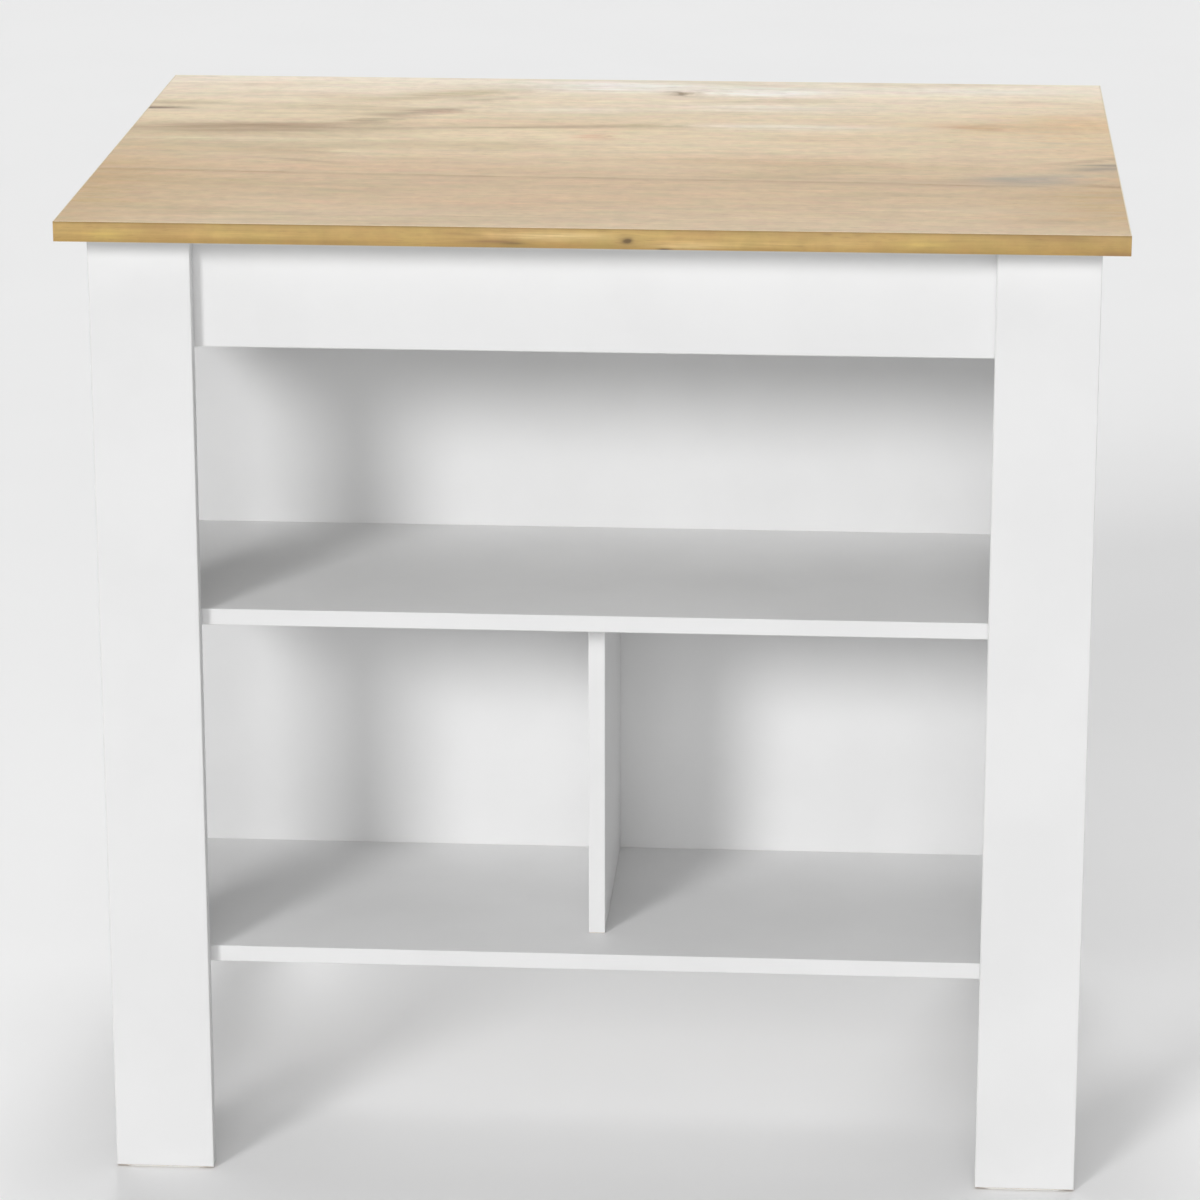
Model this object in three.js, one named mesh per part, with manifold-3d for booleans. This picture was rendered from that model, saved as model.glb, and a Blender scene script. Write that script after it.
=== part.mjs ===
// Kitchen island unit: an oak-effect worktop on four plank legs. The front half holds open
// shelves, the back half is free knee space behind a back panel. Everything is flat-pack
// chipboard, joined by cam locks, screws, dowels and corner blocks that sit in bored seats.
//
// Millimetres, +Z up. The origin is on the floor under the middle of the worktop. The
// shelves open towards -Y, and +X is on the right of someone who faces them.

import * as THREE from 'three';
import { mergeVertices } from 'three/addons/utils/BufferGeometryUtils.js';
import Module from 'manifold-3d';

const wasm = await Module();
wasm.setup();

// ---------------------------------------------------------------- driving dimensions

const height = 900;
const worktop = { width: 925, depth: 680, thickness: 18, bandThickness: 1, bandEase: 0.25 };
const overhang = { front: 35, back: 35, side: 22.5 };

const boardThickness = 15;
const edgeEase = 0.5;

const legWidth = 90;
const apronHeight = 104;
const sideRailHeight = 70;

const middleShelfTop = 537;
const lowerShelfTop = 215;
const shelfDepth = 280;
const dividerSetback = 53;

// Hardware lies this far from the wood that it sits in or against.
const seatGap = 0.3;

const glide = {
  length: 72, width: 12, thickness: 1.2, pinRadius: 3, pinLength: 10, pinSpacing: 50,
  pinEase: 1,
};

const camLock = {
  radius: 7.5, height: 12, rim: 0.5, wall: 2.9, headRoom: 7.4, slotHeight: 4.6,
  slotSweep: 100, crossLength: 9, crossWidth: 1.4, crossDepth: 2,
};

// The bolt screws into a leg and reaches the middle of its cam lock.
const camBolt = {
  reach: 24, threadRadius: 2.4, threadLength: 10, tipRadius: 1.4, tipLength: 1.4,
  stemRadius: 3.5, stemEnd: 16, neckRadius: 2, headRadius: 3.2, headLength: 3.5,
  headStart: 19.8, headEase: 1,
};

const screw = {
  length: 50, headRadius: 5, coneDepth: 1.5, shankRadius: 3.5, shankLength: 12,
  shoulderLength: 1, threadRadius: 3, tipRadius: 1, tipLength: 3, socketWidth: 4,
  socketDepth: 3,
};
const panelScrewSpacing = 520;

const dowel = { radius: 4, length: 30, inFace: 11, flutes: 8, fluteDepth: 0.4, ease: 1 };

const cornerBlock = {
  side: 42, height: 30, wall: 4, hypotenuseWall: 3, holeRadius: 2.3, sideHole: 18.9, topHole: 14,
};

const bracket = { leg: 28, width: 18, sheet: 1.6, bendRadius: 3, holeRadius: 2.3 };
const bracketSpacing = 420;

// Number of flat sides that stand for a full turn.
const boreSides = 12;
const hardwareSides = 12;
const boltSides = 10;
const arcSteps = 4;

// Cutters run this far past the faces that they open.
const cutMargin = 1;

// ---------------------------------------------------------------- places that follow

const underside = height - worktop.thickness;
const apronBottom = underside - apronHeight;
const legBottom = glide.thickness + seatGap;

const bodyHalf = worktop.width / 2 - overhang.side;
const sideInner = bodyHalf - boardThickness;

// Legs stand outside the carcass, so the shelves and aprons start behind their inner faces.
const frontOuter = -worktop.depth / 2 + overhang.front;
const frontInner = frontOuter + boardThickness;
const backOuter = worktop.depth / 2 - overhang.back;
const backInner = backOuter - boardThickness;

const panelFront = frontInner + shelfDepth;
const panelBack = panelFront + boardThickness;
const dividerFront = frontInner + dividerSetback;

const middleShelfBottom = middleShelfTop - boardThickness;
const lowerShelfBottom = lowerShelfTop - boardThickness;
const sideRailBottom = lowerShelfTop - sideRailHeight;

const sides = [{ name: 'left', sign: -1 }, { name: 'right', sign: 1 }];
const ends = [
  { name: 'front', inward: 1, outer: frontOuter, inner: frontInner },
  { name: 'back', inward: -1, outer: backOuter, inner: backInner },
];

// ---------------------------------------------------------------- materials

function material(color, roughness, metalness = 0) {
  return new THREE.MeshStandardMaterial({ color, roughness, metalness });
}

const oakLaminate = material(0xd2b184, 0.5);
const oakBand = material(0xc79a4e, 0.45);
const whiteBoard = material(0xf0f0f0, 0.45);
const whitePlastic = material(0xe6e6e4, 0.5);
const zincCast = material(0xa9adb0, 0.45, 0.9);
const steel = material(0xb8bcc0, 0.35, 1);
const beech = material(0xd9b98a, 0.75);

// ---------------------------------------------------------------- solids

// Faces that meet are kept on one grid, so that both hold the same 32-bit numbers.
const gridStep = 1 / 64;
const onGrid = (value) => Math.round(value / gridStep) * gridStep;

const ordered = (a, b) => (a < b ? [a, b] : [b, a]);
const opposite = (direction) => direction.clone().negate();

function toSolid(geometry) {
  const bare = geometry.index ? geometry.toNonIndexed() : geometry.clone();
  bare.deleteAttribute('normal');
  bare.deleteAttribute('uv');
  const merged = mergeVertices(bare);
  return new wasm.Manifold(new wasm.Mesh({
    numProp: 3,
    vertProperties: merged.attributes.position.array,
    triVerts: merged.index.array,
  }));
}

function toGeometry(solid) {
  const mesh = solid.getMesh();
  const geometry = new THREE.BufferGeometry();
  geometry.setAttribute('position', new THREE.BufferAttribute(mesh.vertProperties, 3));
  geometry.setIndex(new THREE.BufferAttribute(mesh.triVerts, 1));
  geometry.computeVertexNormals();
  return geometry;
}

function cut(geometry, cutters) {
  if (cutters.length === 0) return geometry;
  const solid = cutters.reduce((rest, cutter) => rest.subtract(toSolid(cutter)), toSolid(geometry));
  return toGeometry(solid);
}

function join(geometries) {
  return toGeometry(geometries.map(toSolid).reduce((whole, piece) => whole.add(piece)));
}

// A box with all twelve edges eased by a small chamfer, centred on its own origin.
function easedBox(width, depth, tall, ease) {
  const cornerCut = ease * Math.tan(Math.PI / 8);
  const x = width / 2 - ease;
  const y = depth / 2 - ease;
  const outline = new THREE.Shape([
    new THREE.Vector2(x - cornerCut, -y), new THREE.Vector2(x, -y + cornerCut),
    new THREE.Vector2(x, y - cornerCut), new THREE.Vector2(x - cornerCut, y),
    new THREE.Vector2(-x + cornerCut, y), new THREE.Vector2(-x, y - cornerCut),
    new THREE.Vector2(-x, -y + cornerCut), new THREE.Vector2(-x + cornerCut, -y),
  ]);
  const geometry = new THREE.ExtrudeGeometry(outline, {
    depth: tall - 2 * ease, bevelThickness: ease, bevelSize: ease, bevelSegments: 1,
  });
  return geometry.translate(0, 0, -tall / 2 + ease);
}

// A turned solid about +Z. The profile lists [radius, z] from the bottom up.
function turned(profile, turnSides = hardwareSides) {
  const points = profile.map(([radius, z]) => new THREE.Vector2(radius, z));
  return new THREE.LatheGeometry(points, turnSides).rotateX(Math.PI / 2);
}

// A round cutter that starts just outside a face at the point `mouth` and runs `into` it.
// Its flat sides touch the circle of `radius` from outside, so the clearance is kept.
function bore(mouth, into, radius, depth) {
  const length = depth + cutMargin;
  const corner = radius / Math.cos(Math.PI / boreSides);
  const geometry = new THREE.CylinderGeometry(corner, corner, length, boreSides);
  const turn = new THREE.Quaternion().setFromUnitVectors(new THREE.Vector3(0, 1, 0), into);
  const middle = mouth.clone().addScaledVector(into, length / 2 - cutMargin);
  return geometry.applyQuaternion(turn).translate(middle.x, middle.y, middle.z);
}

// ---------------------------------------------------------------- assembly

const island = new THREE.Group();

function add(name, geometry, finish, position = new THREE.Vector3()) {
  const mesh = new THREE.Mesh(geometry, finish);
  mesh.name = name;
  mesh.position.copy(position);
  island.add(mesh);
  return mesh;
}

// Puts a piece at `position`, with its own +Z along `up` and its own +X along `across`.
function addTurned(name, geometry, finish, position, up, across) {
  const mesh = add(name, geometry, finish, position);
  const third = new THREE.Vector3().crossVectors(up, across);
  mesh.quaternion.setFromRotationMatrix(new THREE.Matrix4().makeBasis(across, third, up));
}

// A board that fills the span [low, high] along each axis, less the bores listed for it.
function addBoard(name, finish, spans, bores = [], ease = edgeEase) {
  const [x, y, z] = spans.map((span) => ordered(...span).map(onGrid));
  const middle = new THREE.Vector3((x[0] + x[1]) / 2, (y[0] + y[1]) / 2, (z[0] + z[1]) / 2);
  const blank = easedBox(x[1] - x[0], y[1] - y[0], z[1] - z[0], ease);
  const cutters = bores.map((cutter) => cutter.translate(-middle.x, -middle.y, -middle.z));
  add(name, cut(blank, cutters), finish, middle);
}

// ---------------------------------------------------------------- joints between boards

const alongX = new THREE.Vector3(1, 0, 0);
const alongY = new THREE.Vector3(0, 1, 0);
const alongZ = new THREE.Vector3(0, 0, 1);
const leftward = opposite(alongX);
const forward = opposite(alongY);
const downward = opposite(alongZ);

// Each cam joint pulls a board's end against the inner face of a leg. `face` is where the
// bolt leaves the leg, `out` points from the leg along the board, and `lid` is the way the
// cam lock's drive side faces.
const camJoints = [];
for (const side of sides) {
  const boardMiddle = side.sign * (bodyHalf - boardThickness / 2);
  const lid = alongX.clone().multiplyScalar(-side.sign);
  for (const end of ends) {
    const out = alongY.clone().multiplyScalar(end.inward);
    const heights = [
      { board: 'apron', z: underside - apronHeight / 2 },
      { board: 'side_rail', z: lowerShelfTop - sideRailHeight / 2 },
    ];
    for (const { board, z } of heights) {
      camJoints.push({
        name: `${board}_${side.name}_${end.name}`,
        leg: `leg_${end.name}_${side.name}`,
        board: `${board}_${side.name}`,
        face: new THREE.Vector3(boardMiddle, end.inner, z), out, lid,
      });
    }
  }
  const shelves = [
    { board: 'shelf_middle', z: middleShelfTop - boardThickness / 2 },
    { board: 'shelf_lower', z: lowerShelfTop - boardThickness / 2 },
  ];
  for (const { board, z } of shelves) {
    camJoints.push({
      name: `${board}_${side.name}`,
      leg: `leg_front_${side.name}`,
      board,
      face: new THREE.Vector3(side.sign * (bodyHalf - legWidth / 2), frontInner, z),
      out: alongY,
      lid: downward,
    });
  }
}

const camCentre = (joint) => joint.face.clone()
  .addScaledVector(joint.out, camBolt.reach)
  .addScaledVector(joint.lid, boardThickness / 2);

function boltBore(joint) {
  return bore(joint.face, opposite(joint.out), camBolt.threadRadius + seatGap,
    camBolt.threadLength + seatGap);
}

function camBores(joint) {
  return [
    bore(camCentre(joint), opposite(joint.lid), camLock.radius + seatGap,
      camLock.height + seatGap),
    bore(joint.face, joint.out, camBolt.stemRadius + seatGap, camBolt.reach),
  ];
}

const legBores = (leg) => camJoints.filter((joint) => joint.leg === leg).map(boltBore);
const boardBores = (board) => camJoints.filter((joint) => joint.board === board)
  .flatMap(camBores);

// Screws run from the back panel's rear face into the edges that the panel closes.
const panelScrews = [{
  name: 'divider', board: 'divider',
  head: new THREE.Vector3(0, panelBack, (middleShelfBottom + lowerShelfTop) / 2),
}];
for (const side of sides) {
  const x = side.sign * panelScrewSpacing / 2;
  panelScrews.push({
    name: `shelf_middle_${side.name}`, board: 'shelf_middle',
    head: new THREE.Vector3(x, panelBack, middleShelfTop - boardThickness / 2),
  });
  panelScrews.push({
    name: `shelf_lower_${side.name}`, board: 'shelf_lower',
    head: new THREE.Vector3(x, panelBack, lowerShelfTop - boardThickness / 2),
  });
}

function screwBores(board) {
  return panelScrews.filter((joint) => joint.board === board).map((joint) => {
    const mouth = joint.head.clone().setY(panelFront);
    const depth = screw.length - boardThickness + seatGap;
    return bore(mouth, forward, screw.threadRadius + seatGap, depth);
  });
}

// Through-holes in the back panel, each with a countersink that takes the screw's cone.
function panelBores() {
  const coneEnd = -screw.coneDepth - seatGap;
  return panelScrews.flatMap(({ head }) => {
    const flare = turned([
      [0, coneEnd], [screw.shankRadius + seatGap, coneEnd], [screw.headRadius + seatGap, 0],
      [screw.headRadius + seatGap, cutMargin], [0, cutMargin],
    ]).rotateX(-Math.PI / 2).translate(head.x, head.y, head.z);
    return [bore(head, forward, screw.shankRadius + seatGap, boardThickness + cutMargin),
      flare];
  });
}

// Dowels hold the divider's ends: `face` is the middle of the divider's end.
const dowelMiddle = (dividerFront + panelFront) / 2;
const dowels = [
  { name: 'upper', board: 'shelf_middle', z: middleShelfBottom, into: alongZ },
  { name: 'lower', board: 'shelf_lower', z: lowerShelfTop, into: downward },
].map((joint) => ({ ...joint, face: new THREE.Vector3(0, dowelMiddle, joint.z) }));

function dowelBores(board) {
  return dowels.filter((joint) => joint.board === board).map((joint) => (
    bore(joint.face, joint.into, dowel.radius + seatGap, dowel.inFace + seatGap)));
}

function dividerDowelBores() {
  return dowels.map((joint) => bore(joint.face, opposite(joint.into),
    dowel.radius + seatGap, dowel.length - dowel.inFace + seatGap));
}

// ---------------------------------------------------------------- worktop

function addWorktop() {
  const halfWidth = worktop.width / 2;
  const halfDepth = worktop.depth / 2;
  const band = worktop.bandThickness;
  const coreX = [-halfWidth + band, halfWidth - band];
  const coreY = [-halfDepth + band, halfDepth - band];
  const z = [underside, height];
  addBoard('worktop_board', oakLaminate, [coreX, coreY, z], [], worktop.bandEase);
  const bands = [
    { edge: 'front', x: [-halfWidth, halfWidth], y: [-halfDepth, coreY[0]] },
    { edge: 'back', x: [-halfWidth, halfWidth], y: [coreY[1], halfDepth] },
    { edge: 'left', x: [-halfWidth, coreX[0]], y: coreY },
    { edge: 'right', x: [coreX[1], halfWidth], y: coreY },
  ];
  for (const { edge, x, y } of bands) {
    addBoard(`worktop_band_${edge}`, oakBand, [x, y, z], [], worktop.bandEase);
  }
}

// ---------------------------------------------------------------- legs and glides

function glideGeometry() {
  const round = glide.width / 2;
  const reach = glide.length / 2 - round;
  const outline = new THREE.Shape();
  outline.absarc(reach, 0, round, -Math.PI / 2, Math.PI / 2);
  outline.absarc(-reach, 0, round, Math.PI / 2, 3 * Math.PI / 2);
  const plate = new THREE.ExtrudeGeometry(outline, {
    depth: glide.thickness, bevelEnabled: false, curveSegments: hardwareSides / 2,
  });
  const pinTop = glide.thickness + glide.pinLength;
  const pins = [-1, 1].map((sign) => (
    turned([
      [0, 0], [glide.pinRadius, 0], [glide.pinRadius, pinTop - glide.pinEase],
      [glide.pinRadius - glide.pinEase, pinTop], [0, pinTop],
    ]).translate(sign * glide.pinSpacing / 2, 0, 0)));
  return join([plate, ...pins]);
}

function addLegs() {
  for (const side of sides) {
    for (const end of ends) {
      const name = `leg_${end.name}_${side.name}`;
      const middle = new THREE.Vector3(
        side.sign * (bodyHalf - legWidth / 2), (end.outer + end.inner) / 2, 0);
      const pinBores = [-1, 1].map((sign) => bore(
        middle.clone().add(new THREE.Vector3(sign * glide.pinSpacing / 2, 0, legBottom)),
        alongZ, glide.pinRadius + seatGap, glide.pinLength));
      addBoard(name, whiteBoard, [
        [side.sign * bodyHalf, side.sign * (bodyHalf - legWidth)],
        [end.outer, end.inner],
        [legBottom, underside],
      ], [...legBores(name), ...pinBores]);
      add(`glide_${end.name}_${side.name}`, glideGeometry(), whitePlastic, middle);
    }
  }
}

// ---------------------------------------------------------------- carcass

function addCarcass() {
  const between = [-sideInner, sideInner];
  const apronZ = [apronBottom, underside];
  for (const end of ends) {
    const inner = end.inner + end.inward * boardThickness;
    addBoard(`apron_${end.name}`, whiteBoard, [between, [end.inner, inner], apronZ]);
  }
  for (const side of sides) {
    const x = [side.sign * sideInner, side.sign * bodyHalf];
    const y = [frontInner, backInner];
    addBoard(`apron_${side.name}`, whiteBoard, [x, y, apronZ], boardBores(`apron_${side.name}`));
    addBoard(`side_rail_${side.name}`, whiteBoard,
      [x, y, [sideRailBottom, lowerShelfTop]], boardBores(`side_rail_${side.name}`));
  }
  const shelfY = [frontInner, panelFront];
  const shelves = [
    { name: 'shelf_middle', z: [middleShelfBottom, middleShelfTop] },
    { name: 'shelf_lower', z: [lowerShelfBottom, lowerShelfTop] },
  ];
  for (const { name, z } of shelves) {
    addBoard(name, whiteBoard, [between, shelfY, z],
      [...boardBores(name), ...screwBores(name), ...dowelBores(name)]);
  }
  addBoard('divider', whiteBoard, [
    [-boardThickness / 2, boardThickness / 2],
    [dividerFront, panelFront],
    [lowerShelfTop, middleShelfBottom],
  ], [...screwBores('divider'), ...dividerDowelBores()]);
  addBoard('back_panel', whiteBoard,
    [between, [panelFront, panelBack], [lowerShelfBottom, underside]], panelBores());
}

// ---------------------------------------------------------------- cam locks and bolts

// The drive side is at z = 0 and the bolt comes in along +X. Its head goes in through the
// round entry at the slot's far end, then the slot's walls grip it as the lock turns.
function camLockGeometry() {
  const { radius, height: tall, rim, crossLength, crossWidth, crossDepth } = camLock;
  const boltLevel = -boardThickness / 2;
  const blank = turned([
    [0, -tall], [radius - rim, -tall], [radius, -tall + rim], [radius, -rim],
    [radius - rim, 0], [0, 0],
  ]);
  const headRoom = camLock.headRoom / 2;
  const pocket = turned([
    [0, boltLevel - headRoom], [radius - camLock.wall, boltLevel - headRoom],
    [radius - camLock.wall, boltLevel + headRoom], [0, boltLevel + headRoom],
  ]);
  const neckRoom = Math.asin((camBolt.neckRadius + seatGap) / (radius - camLock.wall));
  const sweep = THREE.MathUtils.degToRad(camLock.slotSweep);
  const slotOutline = new THREE.Shape();
  slotOutline.absarc(0, 0, radius + cutMargin, -neckRoom, sweep);
  slotOutline.absarc(0, 0, radius - camLock.wall - cutMargin, sweep, -neckRoom, true);
  const slot = new THREE.ExtrudeGeometry(slotOutline, {
    depth: camLock.slotHeight, bevelEnabled: false, curveSegments: arcSteps,
  }).translate(0, 0, boltLevel - camLock.slotHeight / 2);
  const entryWay = new THREE.Vector3(Math.cos(sweep), Math.sin(sweep), 0);
  const entryMouth = entryWay.clone().multiplyScalar(radius).setZ(boltLevel);
  const entry = bore(entryMouth, opposite(entryWay), headRoom, radius);
  const cross = [0, Math.PI / 2].map((angle) => (
    new THREE.BoxGeometry(crossLength, crossWidth, 2 * crossDepth).rotateZ(angle)));
  return cut(blank, [pocket, slot, entry, ...cross]);
}

function camBoltGeometry() {
  const bolt = camBolt;
  const headEnd = bolt.headStart + bolt.headLength;
  return turned([
    [0, -bolt.threadLength], [bolt.tipRadius, -bolt.threadLength],
    [bolt.threadRadius, -bolt.threadLength + bolt.tipLength], [bolt.threadRadius, seatGap],
    [bolt.stemRadius, seatGap], [bolt.stemRadius, bolt.stemEnd],
    [bolt.neckRadius, bolt.stemEnd], [bolt.neckRadius, bolt.headStart],
    [bolt.headRadius, bolt.headStart + bolt.headEase],
    [bolt.headRadius, headEnd - bolt.headEase], [bolt.neckRadius, headEnd], [0, headEnd],
  ], boltSides);
}

function addCamFittings() {
  const lock = camLockGeometry();
  const bolt = camBoltGeometry();
  for (const joint of camJoints) {
    addTurned(`cam_lock_${joint.name}`, lock, zincCast, camCentre(joint), joint.lid,
      opposite(joint.out));
    addTurned(`cam_bolt_${joint.name}`, bolt, steel, joint.face, joint.out, joint.lid);
  }
}

// ---------------------------------------------------------------- screws and dowels

// A countersunk furniture screw along -Z, with its head's face at z = 0.
function screwGeometry() {
  const threadStart = -screw.shankLength - screw.shoulderLength;
  const body = turned([
    [0, -screw.length], [screw.tipRadius, -screw.length],
    [screw.threadRadius, -screw.length + screw.tipLength], [screw.threadRadius, threadStart],
    [screw.shankRadius, -screw.shankLength], [screw.shankRadius, -screw.coneDepth],
    [screw.headRadius, 0], [0, 0],
  ]);
  const socketRadius = screw.socketWidth / Math.sqrt(3);
  const socket = new THREE.CylinderGeometry(
    socketRadius, socketRadius, 2 * screw.socketDepth, 6).rotateX(Math.PI / 2);
  return cut(body, [socket]);
}

// A beech dowel along +Z with its middle at the origin, and glue flutes all round.
function dowelGeometry() {
  const { radius, length, ease, flutes, fluteDepth } = dowel;
  const half = length / 2;
  const blank = turned([
    [0, -half], [radius - ease, -half], [radius, -half + ease], [radius, half - ease],
    [radius - ease, half], [0, half],
  ], 2 * flutes);
  const grooves = [];
  for (let i = 0; i < flutes; i += 1) {
    const groove = new THREE.CylinderGeometry(
      fluteDepth, fluteDepth, length + 2 * cutMargin, 4);
    grooves.push(groove.rotateX(Math.PI / 2).translate(radius, 0, 0)
      .rotateZ(2 * Math.PI * i / flutes));
  }
  return cut(blank, grooves);
}

function addScrewsAndDowels() {
  const screwSolid = screwGeometry();
  for (const joint of panelScrews) {
    addTurned(`panel_screw_${joint.name}`, screwSolid, steel, joint.head, alongY, alongX);
  }
  const dowelSolid = dowelGeometry();
  const offset = dowel.inFace - dowel.length / 2;
  for (const joint of dowels) {
    const middle = joint.face.clone().addScaledVector(joint.into, offset);
    add(`divider_dowel_${joint.name}`, dowelSolid, beech, middle);
  }
}

// ---------------------------------------------------------------- corner blocks, brackets

// A hollow wedge whose two flanges lie against an apron and a side apron. Its corner is at
// the origin, its flanges run along +X and +Y, and its closed top is at z = 0.
function cornerBlockGeometry() {
  const { side, height: tall, wall, hypotenuseWall, holeRadius, sideHole, topHole } = cornerBlock;
  const wedge = (corner, tip, depth) => new THREE.ExtrudeGeometry(new THREE.Shape([
    new THREE.Vector2(corner, corner), new THREE.Vector2(tip, corner),
    new THREE.Vector2(tip, corner + wall), new THREE.Vector2(corner + wall, tip),
    new THREE.Vector2(corner, tip),
  ]), { depth, bevelEnabled: false });
  const inset = hypotenuseWall * Math.SQRT2;
  const blank = wedge(0, side, tall).translate(0, 0, -tall);
  const hollow = new THREE.ExtrudeGeometry(new THREE.Shape([
    new THREE.Vector2(wall, wall), new THREE.Vector2(side - inset, wall),
    new THREE.Vector2(wall, side - inset),
  ]), { depth: tall, bevelEnabled: false }).translate(0, 0, -tall - wall);
  const level = -(tall + wall) / 2;
  const holes = [
    { mouth: new THREE.Vector3(sideHole, 0, level), into: alongY },
    { mouth: new THREE.Vector3(0, sideHole, level), into: alongX },
    { mouth: new THREE.Vector3(topHole, topHole, 0), into: downward },
  ].map(({ mouth, into }) => bore(mouth, into, holeRadius, wall + cutMargin));
  return cut(blank, [hollow, ...holes]);
}

// A bent steel angle: one flange stands in the plane y = 0, the other lies under z = 0.
function bracketGeometry() {
  const { leg, width, sheet, bendRadius, holeRadius } = bracket;
  const inner = bendRadius - sheet;
  const profile = new THREE.Shape();
  profile.moveTo(0, -leg);
  profile.lineTo(sheet, -leg);
  profile.absarc(bendRadius, -bendRadius, inner, Math.PI, Math.PI / 2, true);
  profile.lineTo(leg, -sheet);
  profile.lineTo(leg, 0);
  profile.absarc(bendRadius, -bendRadius, bendRadius, Math.PI / 2, Math.PI);
  const angle = new THREE.ExtrudeGeometry(profile, {
    depth: width, bevelEnabled: false, curveSegments: arcSteps,
  }).translate(0, 0, -width / 2);
  const holePlace = (leg + bendRadius) / 2;
  return cut(angle, [
    bore(new THREE.Vector3(0, -holePlace, 0), alongX, holeRadius, sheet + cutMargin),
    bore(new THREE.Vector3(holePlace, 0, 0), forward, holeRadius, sheet + cutMargin),
  ]);
}

function addCornerBlocks() {
  const solid = cornerBlockGeometry();
  const up = alongZ;
  for (const side of sides) {
    for (const end of ends) {
      const corner = new THREE.Vector3(
        side.sign * (sideInner - seatGap),
        end.inner + end.inward * (boardThickness + seatGap),
        underside - seatGap);
      const inX = alongX.clone().multiplyScalar(-side.sign);
      const inY = alongY.clone().multiplyScalar(end.inward);
      // The wedge is symmetric, so either flange may take the +X role.
      const rightHanded = new THREE.Vector3().crossVectors(up, inX).dot(inY) > 0;
      addTurned(`corner_block_${end.name}_${side.name}`, solid, whitePlastic, corner, up,
        rightHanded ? inX : inY);
    }
  }
}

function addBrackets() {
  const solid = bracketGeometry();
  for (const side of sides) {
    const position = new THREE.Vector3(
      side.sign * bracketSpacing / 2, panelFront - seatGap, underside - seatGap);
    addTurned(`panel_bracket_${side.name}`, solid, steel, position, leftward, forward);
  }
}

// ---------------------------------------------------------------- the whole unit

addWorktop();
addLegs();
addCarcass();
addCamFittings();
addScrewsAndDowels();
addCornerBlocks();
addBrackets();

export default island;
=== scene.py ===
# Kitchen island unit: an oak-effect worktop on four white plank legs, with open shelves in
# the front half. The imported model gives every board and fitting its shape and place; this
# script gives them their finish, adds the short screws, and sets the camera and the light.
#
# Metres, +Z up. The shelves open towards -Y, and +X is on the right in the photograph.

import math
from collections import namedtuple

import bmesh
import bpy
from mathutils import Matrix, Vector


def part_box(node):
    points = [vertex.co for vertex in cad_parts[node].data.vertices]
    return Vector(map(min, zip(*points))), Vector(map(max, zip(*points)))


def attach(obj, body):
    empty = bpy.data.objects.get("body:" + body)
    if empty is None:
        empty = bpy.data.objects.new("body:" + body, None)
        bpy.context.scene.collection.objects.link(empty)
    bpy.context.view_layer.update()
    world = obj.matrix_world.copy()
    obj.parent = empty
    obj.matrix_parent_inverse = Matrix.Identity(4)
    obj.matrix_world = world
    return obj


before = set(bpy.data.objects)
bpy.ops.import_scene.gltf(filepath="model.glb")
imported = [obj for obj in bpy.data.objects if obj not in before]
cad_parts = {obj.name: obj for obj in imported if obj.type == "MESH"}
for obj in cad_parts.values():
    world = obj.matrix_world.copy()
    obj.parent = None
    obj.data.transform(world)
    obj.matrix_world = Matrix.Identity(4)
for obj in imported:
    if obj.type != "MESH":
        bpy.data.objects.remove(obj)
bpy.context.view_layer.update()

MM = 0.001


def rgb(red, green, blue):
    """A colour as it shows on screen, from 0 to 255, as the linear colour that shaders use."""
    def linear(value):
        share = value / 255
        return share / 12.92 if share <= 0.04045 else ((share + 0.055) / 1.055) ** 2.4
    return (linear(red), linear(green), linear(blue), 1.0)


# ------------------------------------------------------------------ camera
# Fitted to the board edges measured in the photograph, which is PHOTO_SIDE pixels square.

PHOTO_SIDE = 1200
FOCAL_PIXELS = 4528
CENTRE_ROW = 530
SENSOR = 36
CAMERA_PLACE = (0.26011, -4.11702, 1.74449)
CAMERA_TURN = (1.28482, 0.00075, 0.065925)


def add_camera():
    data = bpy.data.cameras.new("camera")
    data.sensor_width = SENSOR
    data.lens = SENSOR * FOCAL_PIXELS / PHOTO_SIDE
    data.shift_y = (CENTRE_ROW - PHOTO_SIDE / 2) / PHOTO_SIDE
    camera = bpy.data.objects.new("camera", data)
    camera.location = CAMERA_PLACE
    camera.rotation_euler = CAMERA_TURN
    bpy.context.scene.collection.objects.link(camera)
    bpy.context.scene.camera = camera


# ------------------------------------------------------------------ shader nodes

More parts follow.
